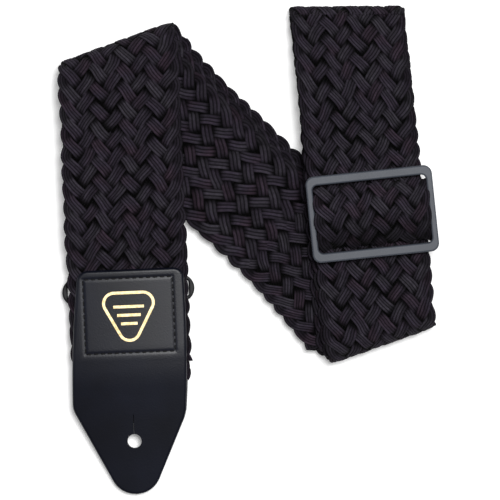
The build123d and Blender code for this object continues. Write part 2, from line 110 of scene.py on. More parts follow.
LEFT_LINES = {
    2: [(0, HINGE_LEVEL - HINGE_AT * FRONT_FALL), (HINGE_AT, HINGE_LEVEL),
        (FRONT_RAMP_END, upper_level(2)), (FAR, upper_level(2))],
    1: ring_line(1, RING_LEVEL + RING_PLY),
    0: ring_line(0, RING_LEVEL - RING_PLY),
}


def near_ring(x):
    """1 at the ring, where the webbing is squeezed, easing to 0 up the run."""
    t = np.clip((RING_SQUEEZE_FROM - x) / RING_SQUEEZE_OVER, 0.0, 1.0)
    return t * t * (3 - 2 * t)


def left_run(layer, x, w, h):
    """A point of one layer of the left run, x up from the button hole."""
    level, slope = smooth_line(x, LEFT_LINES[layer], 2.2)
    if layer < 2:
        squeeze = near_ring(x)
        level = level + (0.2 if layer == 0 else -0.2) * squeeze
        h = h * (1 - 0.135 * squeeze)
    long = np.sqrt(1 + slope**2)
    forward = x - h * slope / long
    plan = forward[:, None] * LEFT + w[:, None] * LEFT_RIGHT
    return np.column_stack([plan, level + h / long])


# ---- creases ----
CREASE_PINCH = 0.05  # how much the webbing narrows where it turns over


class Crease:
    """A fold line with the headings on either side of it."""

    def __init__(self, origin, crease, before, after):
        self.origin = origin
        self.line, self.out = heading(crease), heading(crease + 90)
        self.before, self.before_right = heading(before), heading(before - 90)
        self.after, self.after_right = heading(after), heading(after - 90)

    def beyond(self, s, w):
        """How far past the fold line a point is, where s is its distance past the crossing."""
        return s * (self.before @ self.out) + w * (self.before_right @ self.out)

    def spread(self):
        """Distance along the fold line for each millimetre across the webbing."""
        skew = (self.before_right @ self.out) * (self.before @ self.line) / (self.before @ self.out)
        return self.before_right @ self.line - skew

    def turned(self, u, w, h, radius, middle, enter, leave, over):
        """A point on the half turn: over is +1 where the webbing goes over the top and down."""
        part = u / (pi * radius)
        angle = pi * part
        out = (radius + h) * np.sin(angle)
        level = middle + over * (radius + h) * np.cos(angle)
        v = enter + (leave - enter) * part + w * self.spread() * (1 - CREASE_PINCH * np.sin(angle))
        plan = self.origin + out[:, None] * self.out + v[:, None] * self.line
        return np.column_stack([plan, level])

    def after_fold(self, u, w, radius):
        """Distance along the next run and distance to its right."""
        inward = u - pi * radius
        right = -w
        return -(inward + right * (self.after_right @ self.out)) / (self.after @ self.out), right


def arc_end(start, angle, length, turn):
    """Where an arc ends that leaves start at an angle and turns by turn degrees."""
    chord = 2 * length / radians(abs(turn)) * sin(radians(abs(turn)) / 2)
    return start + chord * heading(angle + turn / 2)


LEFT_CORNER = LEFT_FOLD_AT * LEFT
DIAGONAL_START = LEFT_CORNER + LEFT_SLIP[1] * heading(LEFT_CREASE)
DIAGONAL = 2 * LEFT_CREASE - LEFT_HEADING
HEADING_A = DIAGONAL + FIRST_BEND
HEADING_B = HEADING_A + SECOND_BEND
POINT_A = arc_end(DIAGONAL_START, DIAGONAL, FIRST_LENGTH, FIRST_BEND)
POINT_B = POINT_A + STRAIGHT * heading(HEADING_A)
RIGHT_CORNER = arc_end(POINT_B, HEADING_A, SECOND_LENGTH, SECOND_BEND)
RIGHT_CREASE = (HEADING_B + RIGHT_HEADING) / 2 + 180
DIAGONAL_LENGTH = FIRST_LENGTH + STRAIGHT + SECOND_LENGTH
FOLD_ONE = Crease(LEFT_CORNER, LEFT_CREASE, LEFT_HEADING, DIAGONAL)
FOLD_TWO = Crease(RIGHT_CORNER, RIGHT_CREASE, HEADING_B, RIGHT_HEADING)


def diagonal_run(s, w, level):
    """Points on the diagonal run, whose middle line bends one way and then the other."""
    plan = np.empty((len(s), 2))
    pieces = (
        (s < 0, DIAGONAL_START, DIAGONAL, 0.0, 0.0, 1.0),
        ((s >= 0) & (s < FIRST_LENGTH), DIAGONAL_START, DIAGONAL, 0.0, FIRST_BEND, FIRST_LENGTH),
        ((s >= FIRST_LENGTH) & (s < FIRST_LENGTH + STRAIGHT), POINT_A, HEADING_A, FIRST_LENGTH, 0.0, 1.0),
        ((s >= FIRST_LENGTH + STRAIGHT) & (s < DIAGONAL_LENGTH), POINT_B, HEADING_A,
         FIRST_LENGTH + STRAIGHT, SECOND_BEND, SECOND_LENGTH),
        (s >= DIAGONAL_LENGTH, RIGHT_CORNER, HEADING_B, DIAGONAL_LENGTH, 0.0, 1.0),
    )
    for mask, start, angle, at, turn, length in pieces:
        t = (s - at)[mask]
        along, right = heading(angle), heading(angle - 90)
        if turn:
            radius = length / radians(turn)
            bent = t / radius
            forward = radius * np.sin(bent) + w[mask] * np.sin(bent)
            aside = -radius * (1 - np.cos(bent)) + w[mask] * np.cos(bent)
        else:
            forward, aside = t, w[mask]
        plan[mask] = start + forward[:, None] * along + aside[:, None] * right
    return np.column_stack([plan, level])


# ---- right run ----
RIGHT, RIGHT_RIGHT = heading(RIGHT_HEADING), heading(RIGHT_HEADING - 90)
STACK_MIDDLE = (upper_level(0) + upper_level(2) + PITCH) / 2
DROOP_FALL = tan(radians(DROOP_ANGLE))
RUN_END = RIGHT_STRAIGHT + DROOP_LENGTH * cos(radians(DROOP_ANGLE))
RIGHT_LINE = [(-200, STACK_MIDDLE), (RIGHT_STRAIGHT, STACK_MIDDLE),
              (FAR, STACK_MIDDLE - (FAR - RIGHT_STRAIGHT) * DROOP_FALL)]
DROOP_SOFT = 8.4
RIGHT_ASIDE = {k: slip * (RIGHT_RIGHT @ heading(RIGHT_CREASE)) for k, slip in RIGHT_SLIP.items()}
# the layers draw together towards the top fold, which is a little askew
TOP_ASIDE, TOP_SKEW, TOP_REACH = RIGHT_ASIDE[2], 0.10, (20.0, 110.0)


def front_height(x):
    """Height of the front layer's middle above the middle of the stack of four."""
    return PITCH / 2 + PITCH * np.clip(x / RIGHT_STRAIGHT, 0.0, 1.0)


def near_top(x):
    """1 at the top fold, easing to 0 down the right run."""
    t = np.clip((x - TOP_REACH[0]) / (TOP_REACH[1] - TOP_REACH[0]), 0.0, 1.0)
    return t * t * (3 - 2 * t)


def right_run(layer, x, w, h):
    """A point of one layer of the right run; layer 3 is the end that comes back from the top fold."""
    if layer == 2:
        height = front_height(x)
    elif layer == 3:
        thin = np.clip((front_height(x) - 1.8) / 3.0, 0.3, 1.0)
        height = 0.1 + HALF * thin
        h = h * thin
    else:
        height = np.full_like(x, PITCH / 2 - PITCH * (2 - layer))
    level, slope = smooth_line(x, RIGHT_LINE, DROOP_SOFT)
    long = np.sqrt(1 + slope**2)
    near = near_top(x)
    forward = x - (height + h) * slope / long - TOP_SKEW * w * near
    own = RIGHT_ASIDE[1 if layer == 3 else layer]
    aside = w + own + (TOP_ASIDE - own) * near
    plan = RIGHT_CORNER + forward[:, None] * RIGHT + aside[:, None] * RIGHT_RIGHT
    return np.column_stack([plan, level + (height + h) / long])


def strap(layer, x, w, h):
    """A point of one layer: x along the whole folded route, w to the right, h out of the front face."""
    place = np.empty((len(x), 3))
    shift = LEFT_SLIP[layer] - LEFT_SLIP[1]
    middle_one = (upper_level(layer) + lower_level(2 - layer)) / 2
    radius = (upper_level(layer) - lower_level(2 - layer)) / 2
    u = FOLD_ONE.beyond(x - LEFT_FOLD_AT, w)
    first = u <= 0
    turn = (u > 0) & (u < pi * radius)
    rest = u >= pi * radius
    place[first] = left_run(layer, x[first], w[first], h[first])
    place[turn] = FOLD_ONE.turned(u[turn], w[turn], h[turn], radius, middle_one, 0.0, LEFT_SLIP[layer], 1)
    s, right = FOLD_ONE.after_fold(u[rest], w[rest], radius)
    s = s + shift * (FOLD_ONE.after @ FOLD_ONE.line)
    offset = shift * (FOLD_ONE.after_right @ FOLD_ONE.line)
    u2 = FOLD_TWO.beyond(s - DIAGONAL_LENGTH, right + offset)
    later = np.empty((len(s), 3))
    second = u2 <= 0
    turn2 = (u2 > 0) & (u2 < pi * radius)
    last = u2 >= pi * radius
    tail = h[rest]
    later[second] = diagonal_run(s[second], (right + offset)[second], lower_level(2 - layer) - tail[second])
    later[turn2] = FOLD_TWO.turned(
        u2[turn2], right[turn2], tail[turn2], radius, middle_one,
        offset * FOLD_TWO.spread(), RIGHT_SLIP[layer], -1,
    )
    own = right + offset
    t, across = FOLD_TWO.after_fold(u2[last], own[last], radius)
    t = t + RIGHT_SLIP[layer] * (FOLD_TWO.after @ FOLD_TWO.line)
    later[last] = right_run(layer, t, across + offset, tail[last])
    place[rest] = later
    return place


def far_along(point, layer):
    """How far up the right run a point of the drooping end is."""
    height = {2: 1.5 * PITCH, 1: -0.5 * PITCH, 0: -1.5 * PITCH}[layer]
    return point @ RIGHT - height * DROOP_FALL / sqrt(1 + DROOP_FALL**2)


def route_end(layer):
    """x at which a layer reaches the end of the right run."""
    tried = 420.0
    point = strap(layer, np.array([tried]), np.zeros(1), np.zeros(1))[0, :2] - RIGHT_CORNER
    return tried + RUN_END - far_along(point, layer)


ENDS = {layer: route_end(layer) for layer in (0, 1, 2)}
DROOP_END = np.append(RIGHT_CORNER + RUN_END * RIGHT, STACK_MIDDLE - (RUN_END - RIGHT_STRAIGHT) * DROOP_FALL)
FALL = radians(DROOP_ANGLE)
TURN_OUT = np.append(cos(FALL) * RIGHT, -sin(FALL))
TURN_UP = np.append(sin(FALL) * RIGHT, cos(FALL))
ACROSS = np.append(RIGHT_RIGHT, 0.0)
RING_BAR = np.append(UPPER_BAR * LEFT, RING_LEVEL)


def top_turn(angle, w, radius):
    """A point on the half turn of the top fold."""
    spoke = np.cos(angle)[:, None] * TURN_UP + np.sin(angle)[:, None] * TURN_OUT
    skewed = (w + TOP_ASIDE)[:, None] * ACROSS - (TOP_SKEW * w)[:, None] * TURN_OUT
    return DROOP_END + radius[:, None] * spoke + skewed


def ring_turn(angle, w, h):
    """A point on the half turn round the ring's upper bar, where the webbing is squeezed."""
    out = np.cos(angle)[:, None] * np.array([0, 0, -1.0]) - np.sin(angle)[:, None] * np.append(LEFT, 0)
    return RING_BAR + (RING_TURN_RADIUS + 0.865 * h)[:, None] * out + w[:, None] * np.append(LEFT_RIGHT, 0)


# ---- the whole band, end to end ----
OUTER_TURN, INNER_TURN, RING_TURN = pi * 1.5 * PITCH, pi * 0.5 * PITCH, pi * RING_TURN_RADIUS
RETURNING_END = 62.0
STAGE_LENGTHS = (
    OUTER_TURN, ENDS[0] - UPPER_BAR, RING_TURN, ENDS[1] - UPPER_BAR, INNER_TURN, RUN_END - RETURNING_END,
)
MARKS = [WEBBING_END, ENDS[2]]
for length in STAGE_LENGTHS:
    MARKS.append(MARKS[-1] + length)
# the braid is stretched wide on the left run and pulled narrower past the slider
WIDTHS = ((0.0, 170.0, 330.0, MARKS[3] - 330.0, MARKS[3] - 40.0, MARKS[4] + 40.0, MARKS[4] + 330.0),
          (1.02, 1.02, 0.96, 0.96, 0.985, 0.985, 0.96))


def band(s, w, h):
    """A point of the band at s along it from the front leather end."""
    w = w * np.interp(s, *WIDTHS)
    place = np.empty((len(s), 3))
    stage = np.searchsorted(MARKS[1:-1], s)

    def part(n):
        mask = stage == n
        return mask, s[mask] - MARKS[n], w[mask], h[mask]

    mask, _, across, up = part(0)
    place[mask] = strap(2, s[mask], across, up)
    mask, t, across, up = part(1)
    place[mask] = top_turn(pi * t / OUTER_TURN, across, 1.5 * PITCH + up)
    mask, t, across, up = part(2)
    place[mask] = strap(0, ENDS[0] - t, across, -up)
    mask, t, across, up = part(3)
    place[mask] = ring_turn(pi * t / RING_TURN, across, up)
    mask, t, across, up = part(4)
    place[mask] = strap(1, UPPER_BAR + t, across, up)
    mask, t, across, up = part(5)
    place[mask] = top_turn(pi * (1 - t / INNER_TURN), across, 0.5 * PITCH - up)
    mask, t, across, up = part(6)
    place[mask] = right_run(3, RUN_END - t, across, -up)
    return place


# ---- the braid: 17 flat strands, each over two and under two ----
STRANDS = 17
TICK = 3.9  # length of band in which a strand moves over by one lane
EDGE = 23.1  # from the band's middle to its outermost lane
STRAND_HALF = 2.3
CYCLE = 2 * STRANDS
AROUND = 8
STEEPEST = 0.74


def braid_tables(samples=40):
    """Where a strand is across the band, and how high, through one whole cycle."""
    ticks = np.arange(CYCLE * samples) / samples
    lane = np.where(ticks < 16, ticks, np.where(ticks < 17, 16, np.where(ticks < 33, 33 - ticks, 0)))
    window = np.hanning(int(2.0 * samples) + 3)[1:-1]
    pad = len(window)
    padded = np.concatenate([lane[-pad:], lane, lane[:pad]])
    eased = np.convolve(padded, window / window.sum(), "same")[pad:-pad]
    rising = [1 if k % 4 in (2, 3) else -1 for k in range(16)]
    falling = [1 if k % 4 in (0, 1) else -1 for k in reversed(range(16))]
    events = np.array(rising + [0] + falling + [0], float)
    at = (ticks - 0.5) % CYCLE
    low = np.floor(at).astype(int)
    share = at - low
    share = share * share * (3 - 2 * share)
    height = events[low % CYCLE] * (1 - share) + events[(low + 1) % CYCLE] * share
    return (eased - 8) / 8 * EDGE, height


LANES, HEIGHTS = braid_tables()


def look_up(table, ticks):
    """A value from a table that covers one cycle, at any number of ticks."""
    at = (ticks % CYCLE) / CYCLE * len(table)
    return np.interp(at, np.arange(len(table) + 1), np.append(table, table[0]))


def tube_faces(rings, around):
    """The side faces of a tube made of rings of points."""
    ring = np.arange(rings - 1)[:, None] * around
    here = np.arange(around)[None, :]
    after = (here + 1) % around
    far = ring + around
    return np.stack([ring + here, ring + after, far + after, far + here], -1).reshape(-1, 4)


def braid(route, start, end, per_tick=5, yarns=4, width=1.0, height=0.70, thick=0.66, phase=0.0, seed=3):
    """Points, faces and looks of a length of braid laid on a route(s, w, h).

    A strand is a few yarns side by side, and a yarn is a tube. The look "shade" is painted shade: it falls
    towards inside of the braid and between yarns and lifts a little at the band's edges, with each yarn's
    own random tone mixed in; "tint" varies the colour, and "along" and "around" place the twist of the
    plies.
    """
    first, last = round(start / TICK * per_tick), round(end / TICK * per_tick)
    s = np.arange(first, last + 1) * TICK / per_tick
    s[0], s[-1] = max(s[0], start), min(s[-1], end)
    angles = np.arange(AROUND) / AROUND * 2 * pi + pi / AROUND
    tube = tube_faces(len(s), AROUND)
    gap = 2 * STRAND_HALF / yarns
    verts, faces, tints, shades, plies = [], [], [], [], []
    count = 0
    for strand in range(STRANDS):
        ticks = (s + phase) / TICK + 2 * strand
        ticks = ticks + 0.17 * np.sin(s * 0.117 + strand * 1.9 + seed)
        ticks = ticks + 0.12 * np.sin(s * 0.29 + strand * 3.7)
        wander = 0.22 * np.sin(s * 0.31 + strand * 2.1 + seed) + 0.16 * np.sin(s * 0.83 + strand * 4.7)
        lane = look_up(LANES, ticks)
        slope = (look_up(LANES, ticks + 0.05) - look_up(LANES, ticks - 0.05)) / (0.1 * TICK)
        lift = height * look_up(HEIGHTS, ticks) + 0.03 * np.sin(s * 0.57 + strand * 1.3)
        lift = lift - 0.06 * np.clip(slope / STEEPEST, -1, 1)
        long = np.sqrt(1 + slope**2)
        side_s, side_w = -slope / long, 1 / long
        swell = 1 + 0.06 * np.sin(s * 0.43 + strand * 3.3)
        for yarn in range(yarns):
            at = (yarn - (yarns - 1) / 2) * gap
            own = 1 + 0.07 * np.sin(s * 0.9 + strand * 1.1 + yarn * 2.3)
            a = swell[:, None] * (at + 0.58 * gap * np.cos(angles)[None, :])
            b = own[:, None] * thick * np.sin(angles)[None, :] - 0.16 * (at / STRAND_HALF) ** 2
            place_s = s[:, None] + a * side_s[:, None]
            place_w = ((lane + wander)[:, None] + a * side_w[:, None]) * width
            place_h = lift[:, None] + b
            verts.append(np.column_stack([place_s.ravel(), place_w.ravel(), place_h.ravel()]))
            faces.append(tube + count)
            count += len(verts[-1])
            broad, short = np.sin(strand * 2.4 + s * 0.045), np.sin(strand * 5.1 + s * 0.37 + yarn * 0.4)
            tone = 0.5 + 0.26 * broad + 0.30 * short
            tints.append(np.repeat(np.clip(tone, 0, 1), AROUND))
            # painted shade: darker the deeper the yarn lies inside the braid, lifted near the band's edges,
            # which are seen from above
            painted_inner_shade = np.clip((np.abs(place_h) - 0.30) / 1.0, 0, 1) ** 2.0
            painted_inner_shade = np.maximum(painted_inner_shade, 0.55 * np.clip((np.abs(place_w / width) - 20.5) / 3.0, 0, 1))
            # painted shade: each yarn lit on its top and bottom and dark on its sides
            upright = 0.10 + 1.15 * np.sin(angles) ** 4
            bright = 1 + 0.26 * np.sin(yarn * 2.1 + strand * 1.3 + s * 0.05)
            bright = bright - 0.03 * np.clip(slope / STEEPEST, -1, 1)
            shades.append(((0.01 + 1.66 * painted_inner_shade) * upright[None, :] * bright[:, None]).ravel())
            plies.append(np.column_stack([np.repeat(s, AROUND), np.tile(angles, len(s))]))
    flat = np.concatenate(verts)
    ply = np.concatenate(plies)
    looks = {"tint": np.concatenate(tints), "shade": np.concatenate(shades)}
    looks |= {"along": ply[:, 0], "around": ply[:, 1]}
    return route(flat[:, 0], flat[:, 1], flat[:, 2]), np.concatenate(faces), looks


def make_mesh(name, verts, quads, looks=None, smooth=True):
    """A Blender object from points in millimetres and four-sided faces."""
    mesh = bpy.data.meshes.new(name)
    mesh.vertices.add(len(verts))
    mesh.vertices.foreach_set("co", (np.asarray(verts, float) * MM).astype(np.float32).ravel())
    mesh.loops.add(quads.size)
    mesh.loops.foreach_set("vertex_index", quads.astype(np.int32).ravel())
    mesh.polygons.add(len(quads))
    mesh.polygons.foreach_set("loop_start", np.arange(0, quads.size, 4, dtype=np.int32))
    mesh.update(calc_edges=True)
    mesh.polygons.foreach_set("use_smooth", np.full(len(quads), smooth))
    for kind, values in (looks or {}).items():
        mesh.attributes.new(kind, "FLOAT", "POINT").data.foreach_set("value", values.astype(np.float32))
    mesh.update()
    piece = bpy.data.objects.new(name, mesh)
    bpy.context.scene.collection.objects.link(piece)
    return piece


# ---- materials ----
def new_material(name):
    """A material with its nodes, links and shader."""
    material = bpy.data.materials.new(name)
    material.use_nodes = True
    nodes, links = material.node_tree.nodes, material.node_tree.links
    return material, nodes, links, nodes["Principled BSDF"]


def node(nodes, kind, **inputs):
    """A new node with some of its inputs set; an underscore stands for a space."""
    made = nodes.new(kind)
    for key, value in inputs.items():
        made.inputs[key.replace("_", " ")].default_value = value
    return made


def ramp(nodes, stops):
    """A colour ramp through the (place, colour) stops."""
    made = nodes.new("ShaderNodeValToRGB")
    while len(made.color_ramp.elements) < len(stops):
        made.color_ramp.elements.new(0.5)
    for element, (at, colour) in zip(made.color_ramp.elements, stops):
        element.position = at
        element.color = (*colour, 1)
    return made


def object_place(nodes):
    """The socket with object coordinates, which move with the piece."""
    return nodes.new("ShaderNodeTexCoord").outputs["Object"]


def webbing_material():
    """Twisted cotton-like yarn, coloured with the painted shade of the look 'shade': darker the deeper it
    lies in the braid.
    """
    material, nodes, links, shader = new_material("braided_cord")
    place = object_place(nodes)
    tint = nodes.new("ShaderNodeAttribute")
    tint.attribute_name = "tint"
    fuzz = node(nodes, "ShaderNodeTexNoise", Scale=900.0, Detail=3.0, Roughness=0.6)
    patch = node(nodes, "ShaderNodeTexNoise", Scale=60.0, Detail=2.0)
    links.new(place, fuzz.inputs["Vector"])
    links.new(place, patch.inputs["Vector"])
    mix = nodes.new("ShaderNodeMath")
    mix.operation = "MULTIPLY_ADD"
    mix.inputs[1].default_value = 0.45
    links.new(patch.outputs["Fac"], mix.inputs[0])
    half = nodes.new("ShaderNodeMath")
    half.operation = "MULTIPLY"
    half.inputs[1].default_value = 0.6
    links.new(tint.outputs["Fac"], half.inputs[0])
    links.new(half.outputs["Value"], mix.inputs[2])
    plum, slate, grey = (0.0212, 0.0128, 0.0182), (0.0168, 0.0136, 0.0198), (0.0215, 0.0200, 0.0238)
    tones = ramp(nodes, ((0.0, plum), (0.45, slate), (1.0, grey)))
    links.new(mix.outputs["Value"], tones.inputs["Fac"])
    fleck = nodes.new("ShaderNodeMix")
    fleck.data_type = "RGBA"
    fleck.blend_type = "MULTIPLY"
    fleck.inputs["Factor"].default_value = 1.0
    shade = ramp(nodes, ((0.3, (0.72, 0.72, 0.74)), (0.7, (1.25, 1.24, 1.26))))
    links.new(fuzz.outputs["Fac"], shade.inputs["Fac"])
    links.new(tones.outputs["Color"], fleck.inputs["A"])
    links.new(shade.outputs["Color"], fleck.inputs["B"])
    # painted shade: the colour is scaled by the braid's look 'shade'
    painted_shade_look = nodes.new("ShaderNodeAttribute")
    painted_shade_look.attribute_name = "shade"
    painted_shade_colour = nodes.new("ShaderNodeVectorMath")
    painted_shade_colour.operation = "SCALE"
    links.new(fleck.outputs["Result"], painted_shade_colour.inputs["Vector"])
    links.new(painted_shade_look.outputs["Fac"], painted_shade_colour.inputs["Scale"])
    along, around = nodes.new("ShaderNodeAttribute"), nodes.new("ShaderNodeAttribute")
    along.attribute_name, around.attribute_name = "along", "around"
    stretched = nodes.new("ShaderNodeMath")
    stretched.operation = "MULTIPLY"
    stretched.inputs[1].default_value = 9.5
    links.new(along.outputs["Fac"], stretched.inputs[0])
    slanted = nodes.new("ShaderNodeMath")
    slanted.operation = "MULTIPLY_ADD"
    slanted.inputs[1].default_value = 8.0
    links.new(around.outputs["Fac"], slanted.inputs[0])
    links.new(stretched.outputs["Value"], slanted.inputs[2])
    plies = nodes.new("ShaderNodeMath")
    plies.operation = "SINE"
    links.new(slanted.outputs["Value"], plies.inputs[0])
    ply_shade = ramp(nodes, ((0.0, (0.70, 0.70, 0.70)), (1.0, (1.22, 1.22, 1.22))))
    ply_range = node(nodes, "ShaderNodeMapRange")
    ply_range.inputs["From Min"].default_value = -1.0
    links.new(plies.outputs["Value"], ply_range.inputs["Value"])
    links.new(ply_range.outputs["Result"], ply_shade.inputs["Fac"])
    plied = nodes.new("ShaderNodeMix")
    plied.data_type = "RGBA"
    plied.blend_type = "MULTIPLY"
    plied.inputs["Factor"].default_value = 1.0
    links.new(painted_shade_colour.outputs["Vector"], plied.inputs["A"])
    links.new(ply_shade.outputs["Color"], plied.inputs["B"])
    links.new(plied.outputs["Result"], shader.inputs["Base Color"])
    shader.inputs["Roughness"].default_value = 0.85
    shader.inputs["Sheen Weight"].default_value = 0.02
    shader.inputs["Sheen Roughness"].default_value = 0.5
    shader.inputs["Specular IOR Level"].default_value = 0.05
    grain = node(nodes, "ShaderNodeBump", Strength=0.6, Distance=0.00010)
    links.new(ply_range.outputs["Result"], grain.inputs["Height"])
    bump = node(nodes, "ShaderNodeBump", Strength=0.5, Distance=0.00010)
    links.new(grain.outputs["Normal"], bump.inputs["Normal"])
    links.new(fuzz.outputs["Fac"], bump.inputs["Height"])
    links.new(bump.outputs["Normal"], shader.inputs["Normal"])
    return material


def leather_material():
    """Smooth black leather with a fine grain."""
    material, nodes, links, shader = new_material("black_leather")
    place = object_place(nodes)
    grain = node(nodes, "ShaderNodeTexVoronoi", Scale=2000.0)
    grain.feature = "SMOOTH_F1"
    fine = node(nodes, "ShaderNodeTexNoise", Scale=2400.0, Detail=3.0)
    cloud = node(nodes, "ShaderNodeTexNoise", Scale=45.0, Detail=3.0)
    for texture in (grain, fine, cloud):
        links.new(place, texture.inputs["Vector"])
    tones = ramp(nodes, ((0.35, (0.0024, 0.0029, 0.0064)), (0.7, (0.0042, 0.0052, 0.0112))))
    links.new(cloud.outputs["Fac"], tones.inputs["Fac"])
    links.new(tones.outputs["Color"], shader.inputs["Base Color"])
    rough = node(nodes, "ShaderNodeMapRange")
    rough.inputs["To Min"].default_value = 0.31
    rough.inputs["To Max"].default_value = 0.37
    links.new(fine.outputs["Fac"], rough.inputs["Value"])
    links.new(rough.outputs["Result"], shader.inputs["Roughness"])
    shader.inputs["Specular IOR Level"].default_value = 0.17
    first = node(nodes, "ShaderNodeBump", Strength=0.20, Distance=0.00010)
    links.new(grain.outputs["Distance"], first.inputs["Height"])
    second = node(nodes, "ShaderNodeBump", Strength=0.25, Distance=0.00006)
    links.new(fine.outputs["Fac"], second.inputs["Height"])
    links.new(first.outputs["Normal"], second.inputs["Normal"])
    links.new(second.outputs["Normal"], shader.inputs["Normal"])
    return material


def thread_material():
    """Matte black sewing thread."""
    material, nodes, links, shader = new_material("black_thread")
    place = object_place(nodes)
    twist = node(nodes, "ShaderNodeTexNoise", Scale=1800.0, Detail=2.0)
    links.new(place, twist.inputs["Vector"])
    tones = ramp(nodes, ((0.35, (0.0015, 0.0015, 0.002)), (0.7, (0.004, 0.004, 0.005))))
    links.new(twist.outputs["Fac"], tones.inputs["Fac"])
    links.new(tones.outputs["Color"], shader.inputs["Base Color"])
    shader.inputs["Roughness"].default_value = 0.6
    shader.inputs["Specular IOR Level"].default_value = 0.2
    bump = node(nodes, "ShaderNodeBump", Strength=0.4, Distance=0.0001)
    links.new(twist.outputs["Fac"], bump.inputs["Height"])
    links.new(bump.outputs["Normal"], shader.inputs["Normal"])
    return material


def foil_material():
    """Slightly worn gold foil."""
    material, nodes, links, shader = new_material("gold_foil")
    place = object_place(nodes)
    wear = node(nodes, "ShaderNodeTexNoise", Scale=700.0, Detail=4.0)
    links.new(place, wear.inputs["Vector"])
    tones = ramp(nodes, ((0.3, (0.40, 0.29, 0.12)), (0.55, (0.68, 0.54, 0.30)), (0.8, (0.84, 0.72, 0.46))))
    links.new(wear.outputs["Fac"], tones.inputs["Fac"])
    links.new(tones.outputs["Color"], shader.inputs["Base Color"])
    shader.inputs["Metallic"].default_value = 0.55
    rough = node(nodes, "ShaderNodeMapRange")
    rough.inputs["To Min"].default_value = 0.30
    rough.inputs["To Max"].default_value = 0.55
    links.new(wear.outputs["Fac"], rough.inputs["Value"])
    links.new(rough.outputs["Result"], shader.inputs["Roughness"])
    bump = node(nodes, "ShaderNodeBump", Strength=0.3, Distance=0.00008)
    links.new(wear.outputs["Fac"], bump.inputs["Height"])
    links.new(bump.outputs["Normal"], shader.inputs["Normal"])
    return material


def plastic_material(name, dark, light, low, high, grain, gloss):
    """Moulded plastic between two shades and two roughnesses, with specks of a grain."""
    material, nodes, links, shader = new_material(name)
    place = object_place(nodes)
    speck = node(nodes, "ShaderNodeTexNoise", Scale=grain, Detail=3.0)
    cloud = node(nodes, "ShaderNodeTexNoise", Scale=70.0, Detail=2.0)
    links.new(place, speck.inputs["Vector"])
    links.new(place, cloud.inputs["Vector"])
    tones = ramp(nodes, ((0.35, dark), (0.7, light)))
    links.new(cloud.outputs["Fac"], tones.inputs["Fac"])
    links.new(tones.outputs["Color"], shader.inputs["Base Color"])
    rough = node(nodes, "ShaderNodeMapRange")
    rough.inputs["To Min"].default_value = low
    rough.inputs["To Max"].default_value = high
    links.new(speck.outputs["Fac"], rough.inputs["Value"])
    links.new(rough.outputs["Result"], shader.inputs["Roughness"])
    shader.inputs["Specular IOR Level"].default_value = gloss
    bump = node(nodes, "ShaderNodeBump", Strength=0.25, Distance=0.00006)
    links.new(speck.outputs["Fac"], bump.inputs["Height"])
    links.new(bump.outputs["Normal"], shader.inputs["Normal"])
    return material


WEBBING = webbing_material()
LEATHER = leather_material()
THREAD = thread_material()
FOIL = foil_material()
MOULDING = plastic_material(
    "matte_moulding", (0.040, 0.046, 0.060), (0.049, 0.056, 0.072), 0.48, 0.62, grain=2600.0, gloss=0.5)
RING_PLASTIC = plastic_material(
    "ring_plastic", (0.006, 0.006, 0.008), (0.009, 0.009, 0.011), 0.36, 0.48, grain=1800.0, gloss=0.12)


def finish_piece(piece, material, slot, body, *nodes):
    """Gives a piece its material and body, and hides the CAD nodes that it stands for."""
    piece.data.materials.append(material)
    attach(piece, body)
    if nodes:
        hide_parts(*nodes)


# ---- webbing pieces ----
def snap(s):
    """The nearest whole tick, where pieces of one band meet."""
    return round(s / TICK) * TICK


CUTS = [
    WEBBING_END, snap(100), snap(270), snap(440), snap(MARKS[1] - 8), snap(MARKS[2] + 190),
    snap(MARKS[3] - 20), snap(MARKS[4] + 190), snap(MARKS[5] - 30), MARKS[7],
]
front = make_mesh("front_webbing_braid", *braid(band, CUTS[0], CUTS[1]))
front.data.materials.append(WEBBING)
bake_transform(front)
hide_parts("webbing_front_end")

# name, first and last cut, rings for each tick, yarns in a strand, CAD nodes
BANDS = (
    ("front_layer_braid_a", 1, 2, 5, 4, ("webbing_left_run", "webbing_left_fold")),
    ("front_layer_braid_b", 2, 3, 5, 4, ("webbing_diagonal_run", "webbing_right_fold")),
    ("front_layer_braid_c", 3, 4, 5, 4, ("webbing_right_run",)),
    ("outer_layer_braid_a", 4, 5, 5, 4, ("webbing_top_fold",)),
    ("outer_layer_braid_b", 5, 6, 4, 3, ()),
    ("inner_layer_braid_a", 6, 7, 4, 3, ("webbing_ring_loop",)),
    ("inner_layer_braid_b", 7, 8, 4, 3, ()),
    ("returning_end_braid", 8, 9, 4, 3, ()),
)
for name, first_cut, last_cut, per_tick, yarns, nodes_replaced in BANDS:
    piece = make_mesh(name, *braid(band, CUTS[first_cut], CUTS[last_cut], per_tick, yarns))
    finish_piece(piece, WEBBING, "webbing", "folded_webbing", *nodes_replaced)

# ---- slider: the webbing over its centre bar, and the end sewn round it ----
SLIDER_AT, SLIDER_OFFSET = 48.0, 1.5
GAP, WRAP_PLY, BAR = 0.2, 1.6, 1.8
RUN_TILT = atan2(PITCH, RIGHT_STRAIGHT)
slider_side = RIGHT_ASIDE[2] + SLIDER_OFFSET
run_level = upper_level(2) + PITCH * SLIDER_AT / RIGHT_STRAIGHT
RUN_UP = np.append(cos(RUN_TILT) * RIGHT, sin(RUN_TILT))
RUN_NORMAL = np.append(-sin(RUN_TILT) * RIGHT, cos(RUN_TILT))
slider_ground = RIGHT_CORNER + SLIDER_AT * RIGHT + slider_side * RIGHT_RIGHT
WEBBING_TOP = np.append(slider_ground, run_level) + HALF * RUN_NORMAL
BAR_BOTTOM = 0.3 + WRAP_PLY + GAP
BAR_TOP = BAR_BOTTOM + BAR
WRAP_TOP = BAR_TOP + GAP + WRAP_PLY
